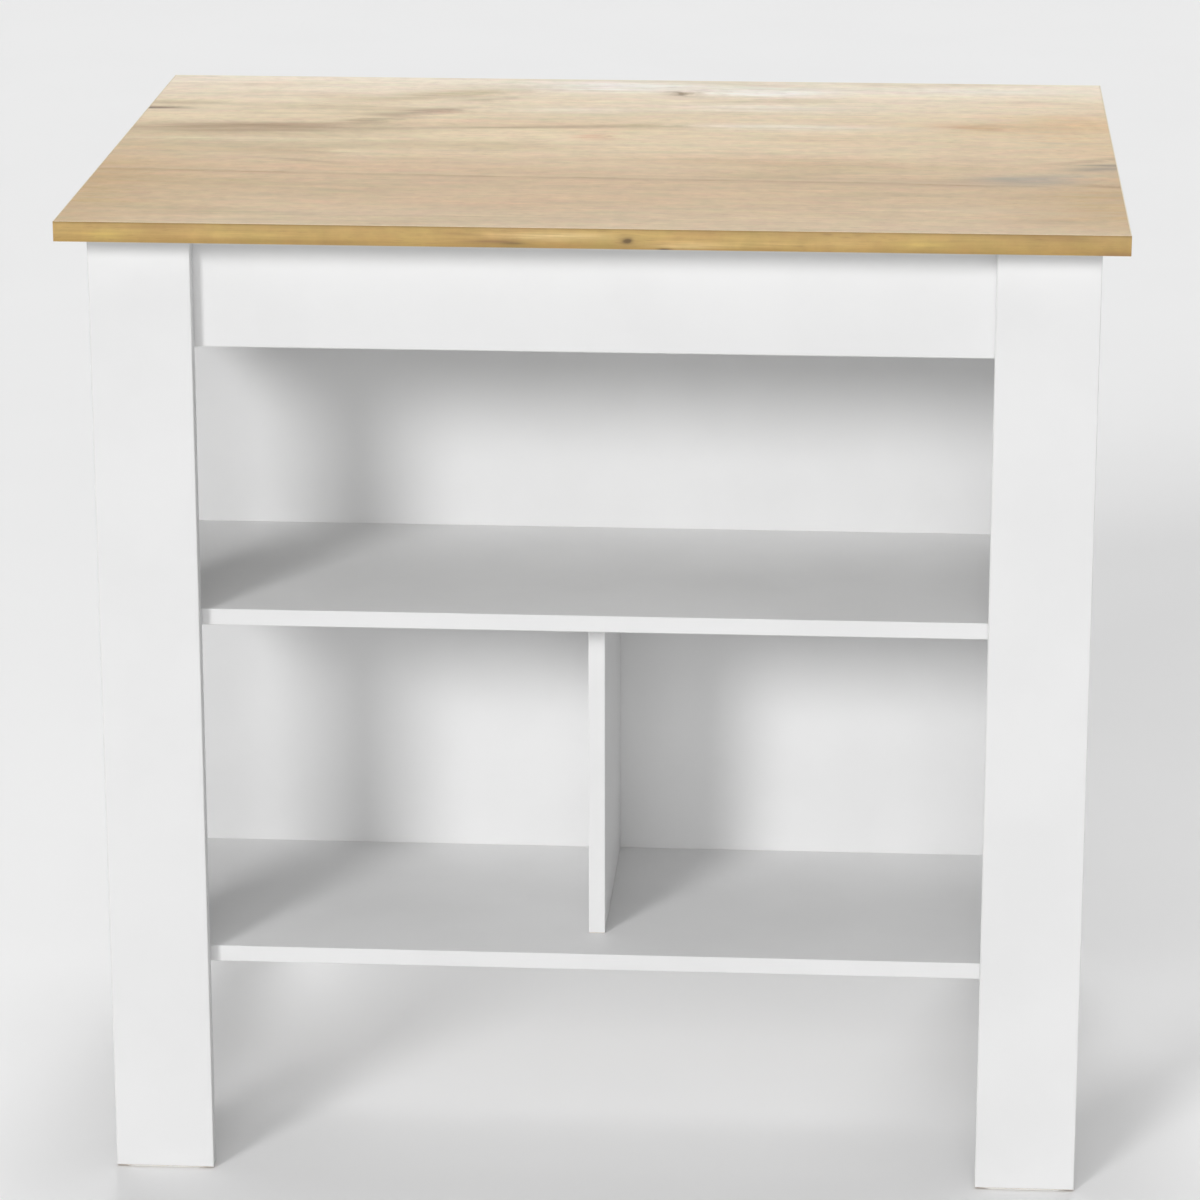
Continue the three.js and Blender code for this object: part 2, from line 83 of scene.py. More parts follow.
class Tree:
    """Builds nodes by nested calls. A value is a number, a tuple or another node's output."""

    def __init__(self, tree):
        self.tree = tree

    def put(self, value, socket):
        if isinstance(value, bpy.types.NodeSocket):
            self.tree.links.new(value, socket)
        else:
            socket.default_value = value

    def node(self, kind, inputs, **settings):
        made = self.tree.nodes.new("ShaderNode" + kind)
        for name, value in settings.items():
            setattr(made, name, value)
        for name, value in inputs.items():
            self.put(value, made.inputs[name])
        return made

    def math(self, operation, *values, clamp=False):
        made = self.node("Math", dict(enumerate(values)), operation=operation, use_clamp=clamp)
        return made.outputs[0]

    def vector(self, operation, *values):
        made = self.node("VectorMath", dict(enumerate(values)), operation=operation)
        return made.outputs["Value" if operation == "LENGTH" else "Vector"]

    def split(self, vector):
        return self.node("SeparateXYZ", {0: vector}).outputs[:]

    def join(self, x, y, z):
        return self.node("CombineXYZ", {0: x, 1: y, 2: z}).outputs[0]

    def place(self):
        """The point's place in the part's own frame: a node's object sits at the origin."""
        return self.node("TexCoord", {}).outputs["Object"]

    def noise(self, vector, detail=2.0, roughness=0.5, distortion=0.0):
        """Noise with one feature to each unit of `vector`."""
        inputs = {"Vector": vector, "Scale": 1.0, "Detail": detail, "Roughness": roughness,
                  "Distortion": distortion}
        return self.node("TexNoise", inputs).outputs[0]

    def noise_per_metre(self, count, detail=2.0, roughness=0.5):
        """Noise fixed to the part, with `count` features to a metre, or a count for each axis."""
        counts = count if isinstance(count, tuple) else (count, count, count)
        return self.noise(self.vector("MULTIPLY", self.place(), counts), detail, roughness)

    def ease(self, value, start, end):
        """0 up to `start`, 1 from `end`, smooth between them. `end` may be the lower one."""
        inputs = {"Value": value, "From Min": start, "From Max": end}
        return self.node("MapRange", inputs, interpolation_type="SMOOTHSTEP").outputs[0]

    def mix(self, share, first, second):
        return self.node("Mix", {0: share, 6: first, 7: second}, data_type="RGBA").outputs[2]

    def ramp(self, value, stops):
        made = self.node("ValToRGB", {0: value})
        made.color_ramp.interpolation = "B_SPLINE"
        elements = made.color_ramp.elements
        for element, (position, colour) in zip(elements, (stops[0], stops[-1])):
            element.position = position
            element.color = colour
        for position, colour in stops[1:-1]:
            elements.new(position).color = colour
        return made.outputs[0]

    def bump(self, height, distance):
        return self.node("Bump", {"Height": height, "Distance": distance}).outputs[0]


def group(name, inputs, outputs):
    """An empty node group with vector or float inputs: its Tree, its inputs and its outputs."""
    made = bpy.data.node_groups.new(name, "ShaderNodeTree")
    for socket, kind in inputs:
        made.interface.new_socket(socket, in_out="INPUT", socket_type="NodeSocket" + kind)
    for socket, kind in outputs:
        made.interface.new_socket(socket, in_out="OUTPUT", socket_type="NodeSocket" + kind)
    entry = made.nodes.new("NodeGroupInput")
    leave = made.nodes.new("NodeGroupOutput")
    return Tree(made), entry.outputs, leave.inputs


def material(name, **constants):
    """A new material with these constants set on its shader: its Tree and its shader."""
    made = bpy.data.materials.new(name)
    made.use_nodes = True
    shader = made.node_tree.nodes["Principled BSDF"]
    for socket, value in constants.items():
        shader.inputs[socket.replace("_", " ")].default_value = value
    return made, Tree(made.node_tree), shader


def finish_node(name, made):
    """Gives the CAD node this one material."""
    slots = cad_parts[name].material_slots
    if not slots:
        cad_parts[name].data.materials.append(made)
    for slot in slots:
        slot.material = made


# ------------------------------------------------------------------ light and floor

Sun = namedtuple("Sun", "name left height spread strength mirrored")
# left: degrees to the left of someone who faces the shelves; height: degrees above the floor;
# spread: degrees across; mirrored: whether it shows in sheens. Most of them don't, because
# they would veil the worktop's colour.
SUNS = [
    Sun("key", 28, 22, 15, 1.60, False),
    Sun("front", 0, 20, 30, 0.74, False),
    Sun("front_right", -30, 10, 30, 0.11, False),
    Sun("low_right", -70, 12, 30, 0.10, False),
    Sun("overhead", 0, 80, 40, 0.57, True),
    Sun("back", 180, 38, 30, 1.45, False),
    Sun("side_left", 90, 8, 30, 0.08, False),
    Sun("side_right", -90, 8, 30, 0.08, False),
]
AMBIENT = 0.09
AMBIENT_BELOW = 0.60

BACKDROP = rgb(234, 234, 234)
FLOOR_COLOUR = rgb(233, 233, 233)
FLOOR_SIDE = 60
FLOOR_MOTTLE_COUNT = 3
FLOOR_MOTTLE = 0.04
SOLE_HOLE_INSET = 1 * MM
CUT_DIGITS = 5
# The floor also glows where it is seen straight, in a reflection or through glass. The glow is
# weaker under the shelves, a painted shade on top of the unit's real shadow: it is
# FLOOR_GLOW_IN_PAINTED_SHADE under them and FLOOR_GLOW_OUT_OF_PAINTED_SHADE from
# PAINTED_SHADE_REACH away from them.
FLOOR_GLOW_IN_PAINTED_SHADE = 0.05
FLOOR_GLOW_OUT_OF_PAINTED_SHADE = 0.15
PAINTED_SHADE_REACH = 0.30


def add_suns():
    for sun in SUNS:
        data = bpy.data.lights.new(sun.name, "SUN")
        data.energy = sun.strength
        data.angle = math.radians(sun.spread)
        lamp = bpy.data.objects.new(sun.name, data)
        lamp.visible_glossy = sun.mirrored
        left, height = math.radians(sun.left), math.radians(sun.height)
        towards = Vector((-math.sin(left) * math.cos(height),
                          -math.cos(left) * math.cos(height), math.sin(height)))
        lamp.rotation_euler = towards.to_track_quat("Z", "Y").to_euler()
        bpy.context.scene.collection.objects.link(lamp)


def seen_ray(tree):
    """1 where the camera sees a thing straight, in a reflection or through glass, else 0."""
    light_path = tree.node("LightPath", {}).outputs
    seen = tree.math("MAXIMUM", light_path["Is Camera Ray"], light_path["Is Glossy Ray"])
    return tree.math("MAXIMUM", seen, light_path["Is Transmission Ray"])


def floor_mesh():
    """A square in rows and columns, left open where a glide covers it: the light from below
    reaches the soles there. Rounding makes glides that are in line share their cuts."""
    half = FLOOR_SIDE / 2
    inset = Vector((SOLE_HOLE_INSET, SOLE_HOLE_INSET, 0))
    columns, rows = {-half, half}, {-half, half}
    for end in ("front", "back"):
        for side in ("left", "right"):
            low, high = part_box(f"glide_{end}_{side}")
            for corner in (low + inset, high - inset):
                columns.add(round(corner.x, CUT_DIGITS))
                rows.add(round(corner.y, CUT_DIGITS))
    columns, rows = sorted(columns), sorted(rows)
    places = [(x, y, 0) for y in rows for x in columns]
    faces = []
    for row in range(len(rows) - 1):
        for column in range(len(columns) - 1):
            first = row * len(columns) + column
            above = first + len(columns)
            under_glide = row % 2 and column % 2
            if not under_glide:
                faces.append((first, first + 1, above + 1, above))
    mesh = bpy.data.meshes.new("floor")
    mesh.from_pydata(places, [], faces)
    return mesh


def add_floor():
    """A pale floor that keeps the unit's shadow and is clear from below, so that the
    underside can be looked at. Its glow, as seen, is weaker under the shelves: a painted shade."""
    mesh = floor_mesh()
    made, tree, shader = material("floor", Roughness=0.8, Specular_IOR_Level=0.1,
                                  Emission_Color=(1, 1, 1, 1))
    mottle = tree.noise_per_metre(FLOOR_MOTTLE_COUNT, 4.0)
    shade = tree.mix(tree.math("MULTIPLY", mottle, FLOOR_MOTTLE), FLOOR_COLOUR, (0, 0, 0, 1))
    tree.put(shade, shader.inputs["Base Color"])
    low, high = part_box("shelf_lower")
    beyond = tree.vector("SUBTRACT", tree.place(), (low + high) / 2)
    beyond = tree.vector("SUBTRACT", tree.vector("ABSOLUTE", beyond), (high - low) / 2)
    beyond = tree.vector("MULTIPLY", tree.vector("MAXIMUM", beyond, (0, 0, 0)), (1, 1, 0))
    # Painted shade: the floor's glow is lower under the shelves and rises away from them.
    out_of_painted_shade = tree.ease(tree.vector("LENGTH", beyond), 0.0, PAINTED_SHADE_REACH)
    painted_floor_glow = tree.math("MULTIPLY_ADD", out_of_painted_shade, FLOOR_GLOW_OUT_OF_PAINTED_SHADE - FLOOR_GLOW_IN_PAINTED_SHADE,
                     FLOOR_GLOW_IN_PAINTED_SHADE)
    tree.put(tree.math("MULTIPLY", painted_floor_glow, seen_ray(tree)), shader.inputs["Emission Strength"])
    below = tree.node("NewGeometry", {}).outputs["Backfacing"]
    clear = tree.node("BsdfTransparent", {}).outputs[0]
    blend = tree.node("MixShader", {0: below, 1: shader.outputs[0], 2: clear})
    tree.put(blend.outputs[0], made.node_tree.nodes["Material Output"].inputs["Surface"])
    mesh.materials.append(made)
    floor = bpy.data.objects.new("floor", mesh)
    bpy.context.scene.collection.objects.link(floor)


def add_world():
    """Even light on the object, stronger from below, where it only reaches the soles, and a
    backdrop of the floor's brightness."""
    world = bpy.data.worlds.new("world")
    world.use_nodes = True
    bpy.context.scene.world = world
    tree = Tree(world.node_tree)
    direction = tree.node("TexCoord", {}).outputs["Generated"]
    below = tree.math("LESS_THAN", tree.split(direction)[2], 0.0)
    strength = tree.math("MULTIPLY_ADD", below, AMBIENT_BELOW - AMBIENT, AMBIENT)
    ambient = tree.node("Background", {"Color": (1, 1, 1, 1), "Strength": strength})
    backdrop = tree.node("Background", {"Color": BACKDROP, "Strength": 1.0})
    blend = tree.node("MixShader", {0: seen_ray(tree), 1: ambient.outputs[0],
                                    2: backdrop.outputs[0]})
    tree.put(blend.outputs[0], world.node_tree.nodes["World Output"].inputs["Surface"])


# ------------------------------------------------------------------ white melamine boards

WHITE = rgb(228, 228, 228)
WHITE_CLOUD = rgb(225, 225, 225)
CLOUD_COUNT = 9
PEARL_COUNT = 1100
BAND_JOINT = rgb(196, 194, 190)
BAND_JOINT_SHARE = 0.35
BAND_THICKNESS = 0.8 * MM
JOINT_RIM = 0.25 * MM
JOINT_HEART = 0.05 * MM
CORE_DEPTH = 0.6 * MM
BOARD_ROUGHNESS = 0.40
BOARD_ROUGHNESS_SPREAD = 0.07
CORE_ROUGHNESS = 0.90
PEARL_RELIEF = 0.25
JOINT_RELIEF = 0.80
BOARD_RELIEF = 0.06 * MM
CHIP_COUNT = 420
CHIP_SHARE = 0.7
CHIP_DUST_COUNT = 2600
CHIP_DUST_SHARE = 0.3
CORE_COLOURS = [(0.0, rgb(112, 82, 52)), (0.35, rgb(166, 130, 88)), (0.7, rgb(196, 164, 120)),
                (1.0, rgb(224, 202, 164))]


def board_group():
    """Where a point lies on a board that fills Low to High. Raw Low and Raw High hold 1 for
    each axis whose low or high face has no edge band, and Thin holds 1 for the thickness."""
    tree, entry, leave = group(
        "board_zones",
        [(name, "Vector") for name in ("Low", "High", "Raw Low", "Raw High", "Thin")],
        [("Core", "Float"), ("Joint", "Float")])
    place = tree.place()
    from_low = tree.vector("SUBTRACT", place, entry["Low"])
    from_high = tree.vector("SUBTRACT", entry["High"], place)
    nearest = tree.vector("MINIMUM", from_low, from_high)
    x, y, z = tree.split(nearest)
    buried = tree.math("MINIMUM", tree.math("MINIMUM", x, y), z)
    core = tree.math("GREATER_THAN", buried, CORE_DEPTH)
    for distance, raw in ((from_low, entry["Raw Low"]), (from_high, entry["Raw High"])):
        for along, marked in zip(tree.split(distance), tree.split(raw)):
            on_face = tree.math("LESS_THAN", along, CORE_DEPTH / 2)
            core = tree.math("MAXIMUM", core, tree.math("MULTIPLY", on_face, marked))
    tree.put(core, leave["Core"])
    edge_x, edge_y, edge_z = tree.split(tree.vector("ADD", nearest, entry["Thin"]))
    edge = tree.math("MINIMUM", tree.math("MINIMUM", edge_x, edge_y), edge_z)
    off_joint = tree.math("ABSOLUTE", tree.math("SUBTRACT", edge, BAND_THICKNESS))
    tree.put(tree.ease(off_joint, JOINT_RIM, JOINT_HEART), leave["Joint"])
    return tree.tree


def chipboard(tree):
    """Pressed chips of two sizes, as a bore or a raw edge shows them."""
    chips = tree.node("TexVoronoi", {"Vector": tree.place(), "Scale": CHIP_COUNT})
    shade = tree.split(chips.outputs["Color"])[0]
    dust = tree.noise_per_metre(CHIP_DUST_COUNT)
    shade = tree.math("ADD", tree.math("MULTIPLY", shade, CHIP_SHARE),
                      tree.math("MULTIPLY", dust, CHIP_DUST_SHARE))
    return tree.ramp(shade, CORE_COLOURS)


def dress_board(name, zones, raw_faces=""):
    """White melamine on the board's faces and edge bands. `raw_faces` names the faces that
    have no band, such as "-z"."""
    low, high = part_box(name)
    size = high - low
    thin = [1.0 if side == min(size) else 0.0 for side in size]
    raw_low = [1.0 if "-" + axis in raw_faces else 0.0 for axis in "xyz"]
    raw_high = [1.0 if "+" + axis in raw_faces else 0.0 for axis in "xyz"]
    made, tree, shader = material("white_board_" + name, IOR=1.5, Specular_IOR_Level=0.12)
    found = tree.tree.nodes.new("ShaderNodeGroup")
    found.node_tree = zones
    for socket, value in (("Low", low), ("High", high), ("Raw Low", raw_low),
                          ("Raw High", raw_high), ("Thin", thin)):
        found.inputs[socket].default_value = value
    core, joint = found.outputs["Core"], found.outputs["Joint"]
    cloud = tree.noise_per_metre(CLOUD_COUNT, 3.0)
    pearl = tree.noise_per_metre(PEARL_COUNT, 1.0)
    shade = tree.mix(tree.ease(cloud, 0.35, 0.75), WHITE, WHITE_CLOUD)
    shade = tree.mix(tree.math("MULTIPLY", joint, BAND_JOINT_SHARE), shade, BAND_JOINT)
    shade = tree.mix(core, shade, chipboard(tree))
    tree.put(shade, shader.inputs["Base Color"])
    roughness = tree.math("MULTIPLY_ADD", tree.ease(cloud, 0.3, 0.7), BOARD_ROUGHNESS_SPREAD,
                          BOARD_ROUGHNESS)
    tree.put(tree.math("MAXIMUM", roughness, tree.math("MULTIPLY", core, CORE_ROUGHNESS)),
             shader.inputs["Roughness"])
    relief = tree.math("SUBTRACT", tree.math("MULTIPLY", pearl, PEARL_RELIEF),
                       tree.math("MULTIPLY", joint, JOINT_RELIEF))
    tree.put(tree.bump(relief, BOARD_RELIEF), shader.inputs["Normal"])
    finish_node(name, made)


# ------------------------------------------------------------------ oak decor

OAK_GOLD = rgb(188, 152, 92)
OAK_PEACH = rgb(212, 178, 140)
OAK_OLIVE = rgb(182, 160, 114)
OAK_BROWN = rgb(148, 116, 80)
OAK_DARK = rgb(88, 70, 50)
OAK_CREAM = rgb(251, 245, 235)
OAK_GREY = rgb(170, 158, 140)
OAK_SPICE = rgb(192, 146, 92)
OAK_PALE = rgb(226, 208, 174)

# Tone of the worktop from its front edge, 0, to its back edge, 1.
DEPTH_TONES = [
    (0.00, rgb(216, 192, 158)), (0.15, rgb(213, 186, 148)), (0.35, rgb(208, 178, 140)),
    (0.55, rgb(240, 220, 185)), (0.65, rgb(228, 205, 166)), (0.85, rgb(240, 221, 191)),
    (1.00, rgb(250, 238, 217)),
]

# A soft mark of the decor: middle and half size in metres, and turn from the grain in degrees.
Mark = namedtuple("Mark", "along across length width turn strength colour")
TOP_MARKS = [
    # broad tones: golden left edge, peach right edge, pale far middle
    Mark(-0.50, -0.20, 0.24, 0.42, 0, 0.62, OAK_GOLD),
    Mark(0.46, 0.08, 0.24, 0.20, 0, 0.55, rgb(216, 180, 130)),
    Mark(0.48, -0.22, 0.20, 0.22, 0, 0.50, OAK_GOLD),
    Mark(-0.01, 0.305, 0.20, 0.050, 0, 0.95, OAK_CREAM),
    Mark(0.14, 0.285, 0.14, 0.050, 0, 0.85, OAK_CREAM),
    Mark(0.33, 0.300, 0.20, 0.035, 0, 0.45, OAK_CREAM),
    Mark(0.13, 0.200, 0.20, 0.045, 0, 0.35, OAK_CREAM),
    Mark(0.16, 0.110, 0.20, 0.035, 0, 0.35, OAK_CREAM),
    Mark(-0.05, 0.180, 0.14, 0.030, 0, 0.28, OAK_CREAM),
    # brown flame from the left edge to the middle
    Mark(-0.34, 0.080, 0.28, 0.054, 2, 0.56, OAK_BROWN),
    Mark(-0.30, 0.096, 0.17, 0.018, 4, 0.35, OAK_BROWN),
    Mark(-0.05, 0.100, 0.16, 0.013, 6, 0.50, OAK_BROWN),
    Mark(-0.35, 0.025, 0.28, 0.022, 0, 0.65, OAK_PALE),
    Mark(-0.225, 0.128, 0.070, 0.034, 34, 0.52, rgb(158, 132, 98)),
    Mark(-0.190, 0.168, 0.070, 0.030, 22, 0.68, rgb(150, 122, 92)),
    Mark(-0.175, 0.166, 0.034, 0.016, 0, 0.34, rgb(192, 142, 112)),
    Mark(-0.180, 0.250, 0.170, 0.042, 20, 0.62, OAK_OLIVE),
    Mark(-0.130, 0.232, 0.060, 0.020, 20, 0.40, rgb(158, 136, 98)),
    # small marks of the left half
    Mark(-0.458, 0.172, 0.075, 0.013, -2, 0.80, OAK_BROWN),
    Mark(-0.470, 0.170, 0.055, 0.008, -2, 0.85, OAK_DARK),
    Mark(-0.300, -0.030, 0.120, 0.034, -10, 0.35, rgb(180, 146, 106)),
    Mark(-0.280, -0.070, 0.100, 0.010, -14, 0.40, OAK_BROWN),
    Mark(-0.230, -0.035, 0.045, 0.050, 0, 0.40, OAK_PALE),
    Mark(-0.400, 0.120, 0.080, 0.020, 0, 0.35, OAK_PALE),
    # small marks of the middle
    Mark(0.056, 0.271, 0.040, 0.020, 6, 0.45, OAK_OLIVE),
    Mark(0.030, 0.108, 0.060, 0.026, 0, 0.45, OAK_OLIVE),
    Mark(-0.012, 0.055, 0.035, 0.032, 0, 0.40, rgb(212, 158, 122)),
    Mark(0.080, 0.020, 0.060, 0.030, 0, 0.35, OAK_PALE),
    Mark(0.150, -0.050, 0.340, 0.040, 0, 0.30, rgb(206, 164, 122)),
    Mark(-0.100, -0.240, 0.300, 0.060, 0, 0.22, rgb(208, 170, 132)),
    # brown flame, spice spot and grey burl of the right half
    Mark(0.345, 0.118, 0.110, 0.050, 0, 0.30, OAK_SPICE),
    Mark(0.340, 0.116, 0.045, 0.026, 0, 0.45, OAK_SPICE),
    Mark(0.430, 0.150, 0.100, 0.060, 0, 0.35, rgb(216, 172, 116)),
    Mark(0.300, -0.128, 0.140, 0.022, 2, 0.45, rgb(178, 148, 118)),
    Mark(0.378, -0.122, 0.100, 0.046, 8, 0.90, OAK_GREY),
    Mark(0.410, -0.100, 0.060, 0.020, 12, 0.50, rgb(176, 166, 146)),
    Mark(0.455, -0.058, 0.072, 0.032, 20, 0.85, rgb(142, 128, 110)),
    Mark(0.440, -0.030, 0.090, 0.014, 24, 0.45, OAK_BROWN),
    Mark(0.452, -0.140, 0.050, 0.014, -12, 0.50, OAK_BROWN),
    Mark(0.320, -0.250, 0.120, 0.026, 0, 0.28, OAK_PALE),
    Mark(0.400, -0.290, 0.090, 0.018, 4, 0.30, OAK_BROWN),
]

Knot = namedtuple("Knot", "along across length width strength")
TOP_KNOTS = [Knot(0.056, 0.271, 0.013, 0.014, 0.50)]

# A crack wanders about the line `across` + `slope` * along, from `start` to `end`.
Crack = namedtuple("Crack", "across slope start end width strength")
TOP_CRACKS = [
    Crack(-0.1333, -0.0354, -0.60, 0.42, 2.2 * MM, 0.62),
    Crack(0.101, 0.080, -0.25, 0.06, 1.8 * MM, 0.42),
    Crack(0.182, -0.030, -0.60, -0.34, 1.4 * MM, 0.45),
    Crack(-0.052, 0.060, -0.10, 0.30, 1.0 * MM, 0.25),
    Crack(-0.298, 0.012, -0.30, 0.10, 0.9 * MM, 0.25),
]

FRONT_MARKS = [
    # broad tones: yellow by the left end and right of the middle, pale in the middle
    Mark(-0.420, 0.8890, 0.045, 0.0080, 0, 0.40, rgb(208, 182, 104)),
    Mark(0.285, 0.8895, 0.040, 0.0070, 0, 0.45, rgb(212, 186, 110)),
    Mark(-0.030, 0.8925, 0.095, 0.0065, 0, 0.60, rgb(226, 200, 148)),
    Mark(0.080, 0.8860, 0.070, 0.0045, 0, 0.45, rgb(222, 196, 144)),
    Mark(0.130, 0.8880, 0.180, 0.0060, 0, 0.35, rgb(222, 192, 132)),
    Mark(-0.300, 0.8900, 0.100, 0.0050, 0, 0.30, rgb(218, 186, 120)),
    Mark(0.450, 0.8900, 0.160, 0.0160, 0, 0.35, rgb(160, 130, 74)),
    # brown smear left of the knot, and darker grain
    Mark(-0.082, 0.8872, 0.055, 0.0044, 2, 0.70, OAK_BROWN),
    Mark(-0.066, 0.8856, 0.024, 0.0026, 0, 0.50, OAK_DARK),
    Mark(-0.110, 0.8935, 0.040, 0.0030, -3, 0.35, OAK_BROWN),
    Mark(-0.380, 0.8960, 0.090, 0.0040, 1, 0.30, OAK_BROWN),
    Mark(-0.220, 0.8845, 0.080, 0.0030, 0, 0.30, OAK_BROWN),
    Mark(0.0665, 0.8825, 0.012, 0.0026, 0, 0.85, OAK_DARK),
    Mark(0.205, 0.8975, 0.012, 0.0026, 0, 0.60, OAK_BROWN),
    Mark(0.400, 0.8965, 0.100, 0.0060, -1, 0.40, OAK_BROWN),
    Mark(0.452, 0.8835, 0.040, 0.0040, 0, 0.60, OAK_BROWN),
]
FRONT_KNOTS = [Knot(0.033, 0.8893, 0.0056, 0.0028, 0.80)]

# How far the streaks pull a mark's rim along the grain, and the share of it that the mottle
# adds and that goes across.
TOP_FRAY = 0.09
BAND_FRAY = 0.012
MOTTLE_FRAY_SHARE = 0.4
ACROSS_FRAY_SHARE = 0.1

# Roughness of the decor, with what the fibre and the depth of pores and cracks add to it.
OAK_ROUGHNESS = 0.36
FIBRE_ROUGHNESS = 0.10
DEPTH_ROUGHNESS = 0.15
FIBRE_RELIEF = 0.35
PORE_RELIEF = 0.60
TOP_RELIEF = 0.08 * MM
BAND_RELIEF = 0.05 * MM

# A layer of noise in the grain: features to a metre along and across it, the place in the
# noise where it starts, and the noise's own settings.
Layer = namedtuple("Layer", "along across start detail roughness distortion")
FIBRE = Layer(11, 430, 3.1, 4.0, 0.68, 0.0)
MOTTLE = Layer(62, 75, 67.3, 3.0, 0.60, 0.2)
STREAK = Layer(3.4, 66, 11.7, 4.0, 0.58, 0.3)
SWIRL = Layer(1.3, 6.5, 23.9, 1.5, 0.45, 0.0)
PATCH = Layer(2.6, 11, 41.3, 3.0, 0.55, 0.0)
BLUSH = Layer(24, 60, 83.1, 3.0, 0.60, 0.0)
VESSELS = Layer(70, 1500, 57.7, 1.0, 0.50, 0.0)

# The figure is a set of waves: radians to the whole swirl, and how far the streaks shift them.
FIGURE_WAVES = 62
FIGURE_SHIFT = 3

# Pores show where the vessels' noise is above PORE_LEVEL, lower in the figure and the streaks.
PORE_LEVEL = 0.72
PORE_LEVEL_IN_FIGURE = 0.05
PORE_LEVEL_IN_STREAK = 0.10
PORE_CONTRAST = 14

# How far each layer moves the lightness, and the blush the hue, and how dark a pore is.
STREAK_SHARE = 0.34
MOTTLE_SHARE = 0.38
FIBRE_SHARE = 0.42
FIGURE_SHARE = 0.05
BLUSH_SHARE = 0.13
PORE_SHARE = 0.35

# A mark is laid on in threads: weaker where the grain's threads are low.
THREAD_LOW = 0.42
THREAD_HIGH = 0.60
THREAD_LEAST = 0.55
THREAD_GAIN = 0.90
MARK_GAIN = 1.6

# Cracks: bends and breaks to a metre, how far they wander, and the length of their two ends.
CRACK_BENDS = 7
CRACK_BREAKS = 14
CRACK_WANDER = 8 * MM
CRACK_START_TAPER = 0.03
CRACK_END_TAPER = 0.12
# In crack widths from its middle: the full dark thread, the rim of its painted shadow, and
# the middle and half width of the pale lip beside it, a painted highlight. The shares are of
# the crack's strength.
CRACK_THREAD_HEART = 0.2
CRACK_SHADOW_RIM = 6
CRACK_SHADOW_SHARE = 0.45
CRACK_HIGHLIGHT_MIDDLE = 3.2
CRACK_HIGHLIGHT_HALF = 2.2
CRACK_HIGHLIGHT_SHARE = 0.45

# Knots, in knot lengths and widths: where the grain bends, the brown halo and the dark heart.
KNOT_BEND = (5, 6)
KNOT_BEND_SHARE = 0.75
KNOT_HALO = (3.2, 3.0)
KNOT_HALO_SHARE = 0.8
KNOT_HEART = (1.4, 1.5)
KNOT_HEART_GAIN = 2.2
KNOT_HEART_TURN = 8


def grain_group():
    """Oak grain for a place whose X runs along the grain, in metres. All outputs go from 0 to
    1: Fibre is the finest, then Mottle and Streak; Blush runs from green to pink and Pore
    marks the short dark vessels."""
    names = ("Fibre", "Mottle", "Streak", "Figure", "Patch", "Blush", "Pore")
    tree, entry, leave = group("oak_grain", [("Place", "Vector")],
                               [(name, "Float") for name in names])

    def noise(layer):
        place = tree.vector("MULTIPLY_ADD", entry["Place"],
                            (layer.along, layer.across, layer.across),
                            (layer.start, layer.start, layer.start))
        return tree.noise(place, layer.detail, layer.roughness, layer.distortion)

    streak = noise(STREAK)
    shift = tree.math("MULTIPLY", streak, FIGURE_SHIFT)
    waves = tree.math("SINE", tree.math("MULTIPLY_ADD", noise(SWIRL), FIGURE_WAVES, shift))
    figure = tree.math("MULTIPLY_ADD", waves, 0.5, 0.5)
    crowd = tree.math("MULTIPLY_ADD", figure, PORE_LEVEL_IN_FIGURE,
                      tree.math("MULTIPLY", streak, PORE_LEVEL_IN_STREAK))
    above = tree.math("SUBTRACT", noise(VESSELS), tree.math("SUBTRACT", PORE_LEVEL, crowd))
    pore = tree.math("MULTIPLY", above, PORE_CONTRAST, clamp=True)
    values = (noise(FIBRE), noise(MOTTLE), streak, figure, noise(PATCH), noise(BLUSH), pore)
    for name, value in zip(names, values):
        tree.put(value, leave[name])
    return tree.tree


GRAIN = grain_group()


def soft_spot(tree, place, centre, half_size, turn=0):
    """1 at the middle of an ellipse and 0 from its rim on."""
    inputs = {"Vector": place, "Location": centre, "Rotation": (0, 0, math.radians(turn)),
              "Scale": half_size}
    local = tree.node("Mapping", inputs, vector_type="TEXTURE").outputs[0]
    return tree.node("TexGradient", {0: local}, gradient_type="QUADRATIC_SPHERE").outputs[1]


